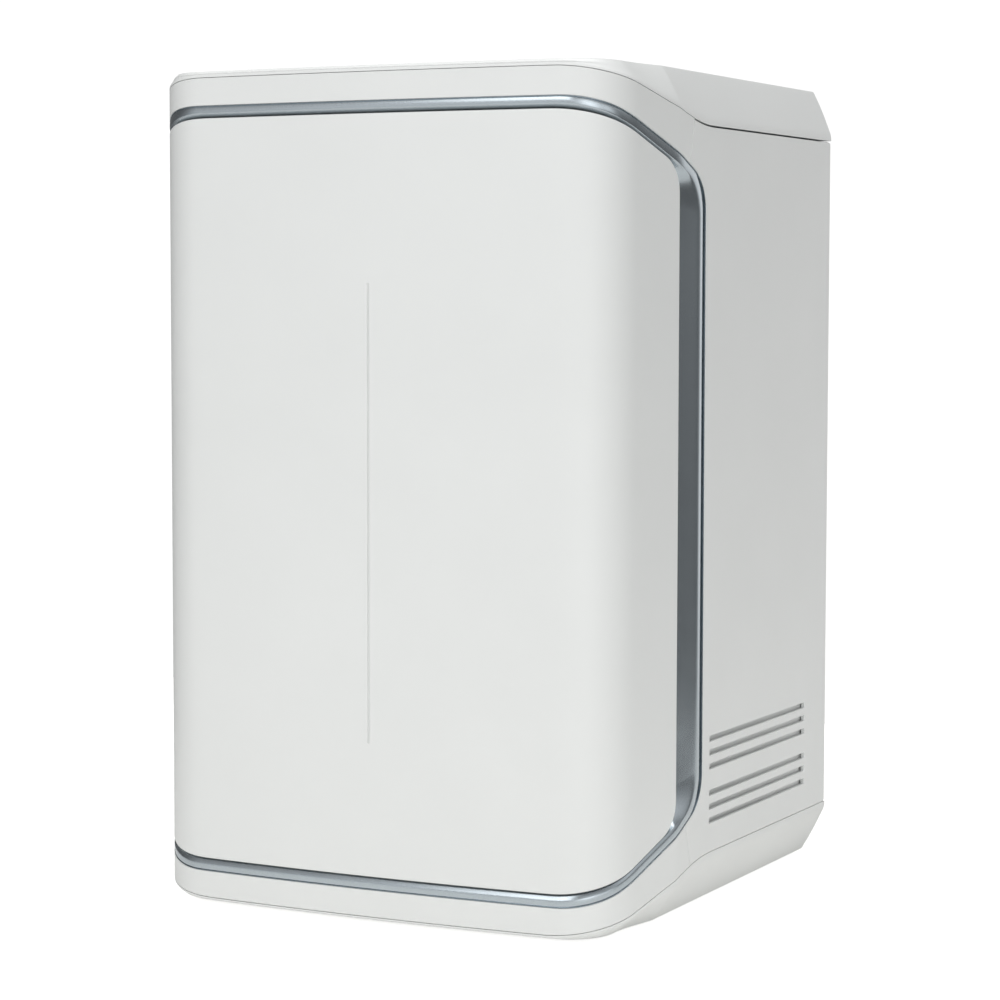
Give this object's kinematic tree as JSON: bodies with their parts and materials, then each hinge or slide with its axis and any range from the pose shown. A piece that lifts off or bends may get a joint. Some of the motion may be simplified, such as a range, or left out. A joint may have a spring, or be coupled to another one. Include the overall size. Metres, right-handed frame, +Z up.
{
  "type": "ultrapure water system",
  "caption": "Tall white bench-top water purifier with a wrap-round front door set in a silver trim, slanted top and bottom covers and side vents.",
  "frame": {"origin": "on the bench, under the middle of the whole part's box", "axes": "+Z up, -Y out of the front door, +X to the right of someone who faces the door"},
  "size_m": [0.373, 0.387, 0.573],
  "materials": {
    "moulded_white": "satin moulded plastic, warm light grey-white",
    "silver_paint": "satin silver-grey paint",
    "zinc_steel": "zinc-plated sheet",
    "stainless_steel": "fine brushed stainless steel",
    "moulded_grey": "fine-textured grey plastic",
    "moulded_black": "fine-textured black plastic",
    "rubber": "matt black rubber",
    "moulded_blue": "satin blue plastic",
    "light_guide": "translucent tube and light-guide plastic",
    "circuit_board": "solder-masked board",
    "brass": "machined brass"
  },
  "bodies": {
    "case": {"top_cover": "moulded_white", "bottom_cover": "moulded_white", "upper_fascia": "moulded_white", "lower_fascia": "moulded_white", "left_side_panel": "moulded_white", "right_side_panel": "moulded_white", "rear_panel": "moulded_white", "trim_ring": "silver_paint", "chassis": "zinc_steel", "base_frame": "zinc_steel", "hinge_rail": "zinc_steel", "pump_motor": "zinc_steel", "pump_rail": "zinc_steel", "board_carrier": "zinc_steel", "power_supply": "zinc_steel", "lower_hinge_pin": "stainless_steel", "upper_hinge_pin": "stainless_steel", "strike_plate": "stainless_steel", "stack_frame": "stainless_steel", "lamp_housing": "stainless_steel", "upper_soffit": "moulded_grey", "lower_sill": "moulded_grey", "manifold_block": "moulded_grey", "drip_tray": "moulded_grey", "lamp_bracket": "moulded_grey", "fan_frame": "moulded_black", "power_inlet": "moulded_black", "data_sockets": "moulded_black", "feed_fitting": "moulded_black", "product_fitting": "moulded_black", "drain_fitting": "moulded_black", "front_left_foot": "rubber", "front_right_foot": "rubber", "rear_left_foot": "rubber", "rear_right_foot": "rubber", "stack_cells": "moulded_blue", "feed_tube": "light_guide", "pump_tube": "light_guide", "product_tube": "light_guide", "drain_tube": "light_guide", "control_board": "circuit_board", "pump_head": "brass", "valve_block": "brass"},
    "door": {"door_skin": "moulded_white", "door_liner": "moulded_grey", "light_guide": "light_guide", "light_board": "circuit_board", "door_hinge_plate": "zinc_steel", "door_magnet": "moulded_black"},
    "port_cap": {"sanitisation_cap": "moulded_blue"},
    "pretreatment": {"pretreatment_cartridge": "moulded_white"},
    "osmosis": {"osmosis_cartridge": "moulded_white"},
    "polishing": {"polishing_cartridge": "moulded_white"},
    "fan": {"fan_rotor": "moulded_grey"},
    "rocker": {"power_rocker": "moulded_black"},
    "fuses": {"fuse_drawer": "moulded_grey"},
    "feed_release": {"feed_collar": "moulded_blue"},
    "product_release": {"product_collar": "moulded_blue"},
    "drain_release": {"drain_collar": "moulded_blue"}
  },
  "joints": [
    {"name": "door_swing", "type": "hinge", "parent": "case", "child": "door", "pos_m": [-0.1775, -0.1006, 0.288], "axis": [0, 0, -1], "range_deg": [0, 95]},
    {"name": "port_cap_twist", "type": "hinge", "parent": "case", "child": "port_cap", "pos_m": [0.052, -0.0995, 0.449], "axis": [0, -1, 0], "range_deg": [0, 90]},
    {"name": "pretreatment_twist", "type": "hinge", "parent": "case", "child": "pretreatment", "pos_m": [-0.104, -0.0635, 0.253], "axis": [0, 0, -1], "range_deg": [0, 60]},
    {"name": "osmosis_twist", "type": "hinge", "parent": "case", "child": "osmosis", "pos_m": [0, -0.0635, 0.253], "axis": [0, 0, -1], "range_deg": [0, 60]},
    {"name": "polishing_twist", "type": "hinge", "parent": "case", "child": "polishing", "pos_m": [0.104, -0.0635, 0.253], "axis": [0, 0, -1], "range_deg": [0, 60]},
    {"name": "fan_spin", "type": "hinge", "parent": "case", "child": "fan", "pos_m": [0.1543, 0.099, 0.092], "axis": [1, 0, 0], "continuous": true},
    {"name": "rocker_tilt", "type": "hinge", "parent": "case", "child": "rocker", "pos_m": [0.1145, 0.1748, 0.12], "axis": [-1, 0, 0], "range_deg": [0, 18]},
    {"name": "fuse_drawer_slide", "type": "slide", "parent": "case", "child": "fuses", "axis": [0, 1, 0], "range_m": [0, 0.018]},
    {"name": "feed_release_press", "type": "slide", "parent": "case", "child": "feed_release", "axis": [0, -1, 0], "range_m": [0, 0.0012], "stiffness_N_per_m": 1500},
    {"name": "product_release_press", "type": "slide", "parent": "case", "child": "product_release", "axis": [0, -1, 0], "range_m": [0, 0.0012], "stiffness_N_per_m": 1500},
    {"name": "drain_release_press", "type": "slide", "parent": "case", "child": "drain_release", "axis": [0, -1, 0], "range_m": [0, 0.0012], "stiffness_N_per_m": 1500}
  ]
}
